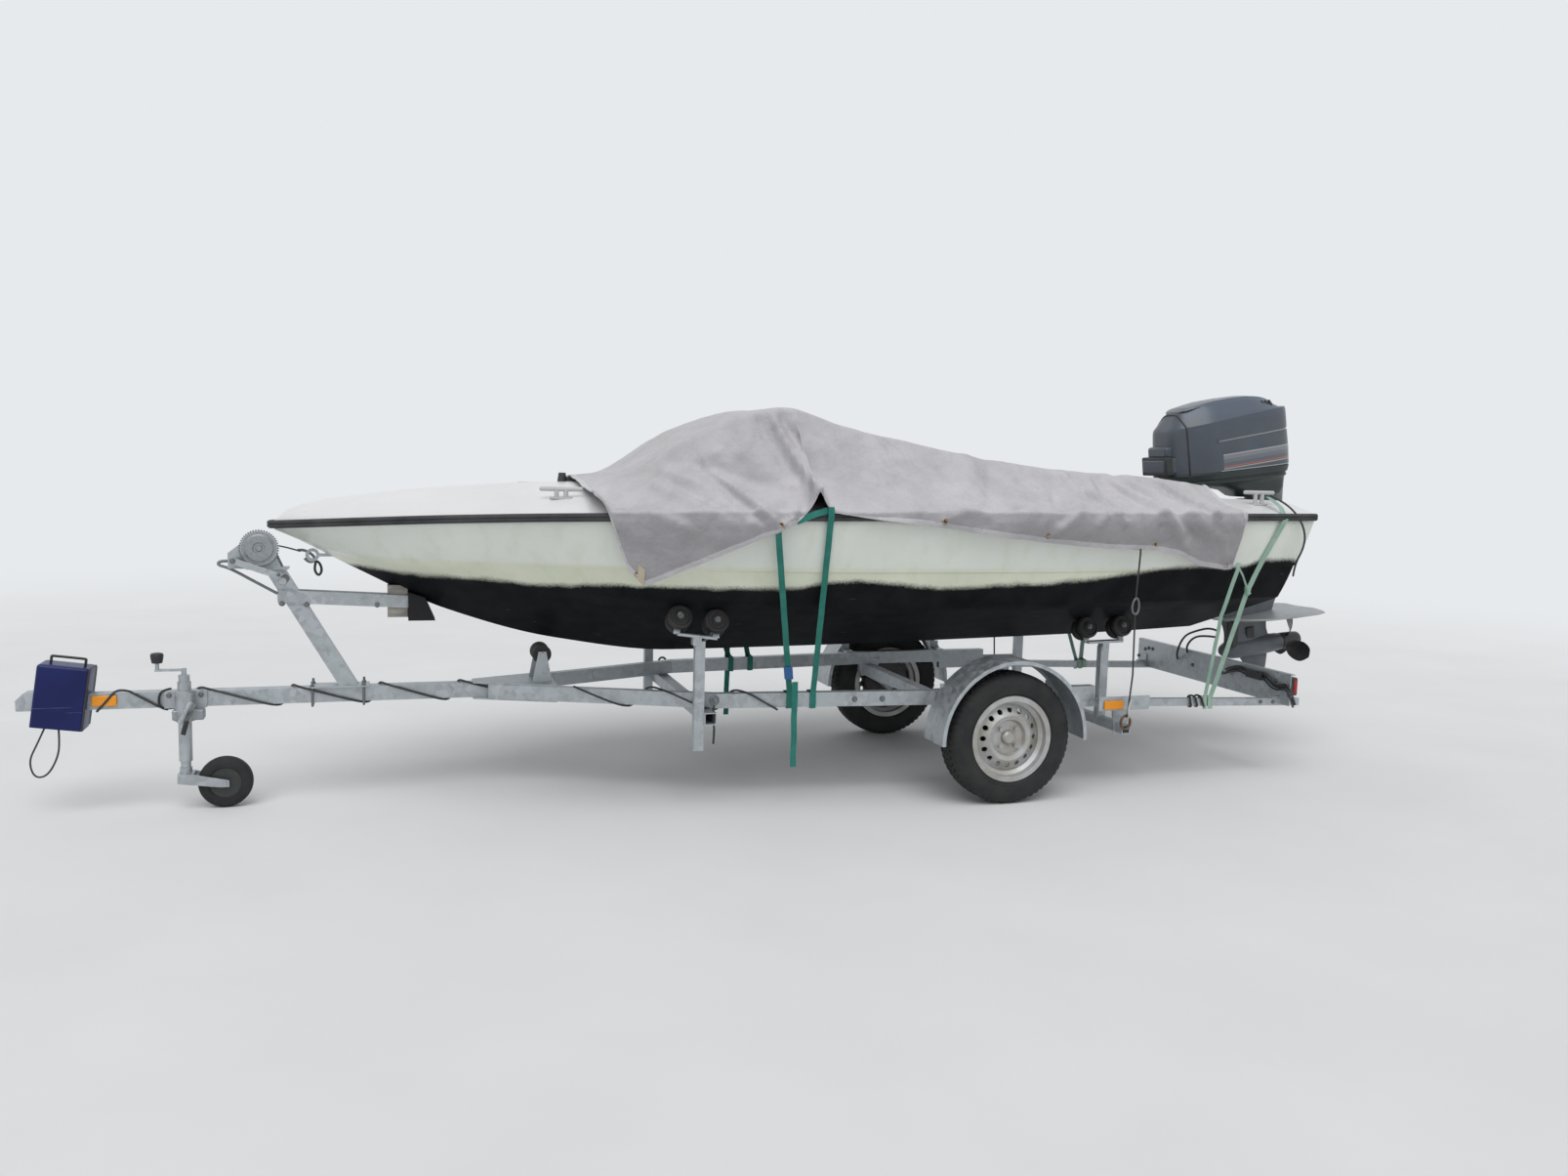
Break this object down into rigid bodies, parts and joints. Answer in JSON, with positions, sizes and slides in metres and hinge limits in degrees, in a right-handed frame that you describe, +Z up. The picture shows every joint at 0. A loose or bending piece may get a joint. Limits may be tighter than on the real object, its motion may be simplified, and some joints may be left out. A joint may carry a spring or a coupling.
{
  "type": "small speedboat with an outboard on a road trailer",
  "caption": "Small fibreglass speedboat under a grey cover, with an outboard motor, strapped on its galvanised road trailer.",
  "frame": {"origin": "on the ground, in the middle of the overall length and width", "axes": "+X towards the stern, +Y to starboard, +Z up"},
  "size_m": [5.8678, 1.65, 1.7823],
  "materials": {
    "gelcoat": "white gelcoat, greenish with age, black below the waterline",
    "deck_gelcoat": "white gelcoat, weathered",
    "rail_rubber": "dark grey, matt",
    "cover_sheet": "grey woven sheet with a pale hem",
    "screen_acrylic": "clear acrylic",
    "white_plastic": "white moulded plastic",
    "dark_plastic": "dark moulded plastic",
    "galvanised": "hot-dip galvanised with a grey spangle",
    "wheel_silver": "silver wheel paint, dusty",
    "tyre": "worn black rubber",
    "roller_rubber": "black rubber",
    "lock_paint": "navy blue paint, chipped",
    "block_wood": "weathered grey wood and a black pad",
    "strap_web": "teal woven webbing, faded at the stern",
    "engine_paint": "dark blue grey paint",
    "leg_paint": "dark grey paint over cast aluminium",
    "propeller_paint": "black paint",
    "engine_mass": "plain block under the cowl",
    "lamp_lens": "red moulded lens"
  },
  "bodies": {
    "boat_and_trailer": {"hull": "gelcoat", "foredeck": "deck_gelcoat", "side_decks": "deck_gelcoat", "aft_deck": "deck_gelcoat", "motor_well": "deck_gelcoat", "rub_rail": "rail_rubber", "windscreen": "screen_acrylic", "cover": "cover_sheet", "deck_cleats": "white_plastic", "bow_light": "dark_plastic", "bow_eye": "galvanised", "clamp_bracket": "leg_paint", "tongue": "galvanised", "side_member_port": "galvanised", "side_member_starboard": "galvanised", "neck": "galvanised", "front_cross_beam": "galvanised", "rear_rails": "galvanised", "rear_cross_beam": "galvanised", "axle": "galvanised", "mudguards": "galvanised", "light_board": "galvanised", "tail_lamps": "lamp_lens", "coupling": "galvanised", "lock_box": "lock_paint", "jockey_mount": "galvanised", "winch_post": "galvanised", "bow_block": "block_wood", "winch": "galvanised", "winch_strap": "strap_web", "roller_posts": "galvanised", "hull_rollers": "roller_rubber", "straps": "strap_web"},
    "wheel_port": {"rim_port": "wheel_silver", "tyre_port": "tyre"},
    "wheel_starboard": {"rim_starboard": "wheel_silver", "tyre_starboard": "tyre"},
    "jockey_inner_leg": {"jockey_leg": "galvanised"},
    "jockey_swivel_fork": {"jockey_fork": "galvanised"},
    "jockey_road_wheel": {"jockey_wheel": "roller_rubber"},
    "outboard_swivel": {"swivel_bracket": "leg_paint"},
    "outboard": {"leg": "leg_paint", "fin_plate": "leg_paint", "gearcase": "leg_paint", "cowl": "engine_paint", "cowl_pan": "engine_paint", "engine_block": "engine_mass"},
    "propeller_unit": {"propeller": "propeller_paint"},
    "keel_roller_unit": {"keel_roller": "roller_rubber"}
  },
  "joints": [
    {"name": "wheel_port_spin", "type": "hinge", "parent": "boat_and_trailer", "child": "wheel_port", "pos_m": [0.86611, -0.665, 0.278], "axis": [0, 1, 0], "continuous": true},
    {"name": "wheel_starboard_spin", "type": "hinge", "parent": "boat_and_trailer", "child": "wheel_starboard", "pos_m": [0.86611, 0.665, 0.278], "axis": [0, 1, 0], "continuous": true},
    {"name": "jockey_height", "type": "slide", "parent": "boat_and_trailer", "child": "jockey_inner_leg", "axis": [0, 0, 1], "range_m": [-0.16, 0.02]},
    {"name": "jockey_swivel", "type": "hinge", "parent": "jockey_inner_leg", "child": "jockey_swivel_fork", "pos_m": [-2.35389, -0.062, 0.165], "axis": [0, 0, 1], "continuous": true},
    {"name": "jockey_wheel_spin", "type": "hinge", "parent": "jockey_swivel_fork", "child": "jockey_road_wheel", "pos_m": [-2.21389, -0.062, 0.1], "axis": [0, 1, 0], "continuous": true},
    {"name": "outboard_tilt", "type": "hinge", "parent": "boat_and_trailer", "child": "outboard_swivel", "pos_m": [2.42611, 0, 1.25], "axis": [0, -1, 0], "range_deg": [0, 58]},
    {"name": "outboard_steering", "type": "hinge", "parent": "outboard_swivel", "child": "outboard", "pos_m": [2.51048, 0, 1.26036], "axis": [-0.1219, 0, 0.9925], "range_deg": [-35, 35]},
    {"name": "propeller_spin", "type": "hinge", "parent": "outboard", "child": "propeller_unit", "pos_m": [2.81801, 0, 0.5445], "axis": [0.9925, 0, 0.1219], "continuous": true},
    {"name": "keel_roller_spin", "type": "hinge", "parent": "boat_and_trailer", "child": "keel_roller_unit", "pos_m": [-0.99389, 0, 0.572], "axis": [0, 1, 0], "continuous": true}
  ]
}
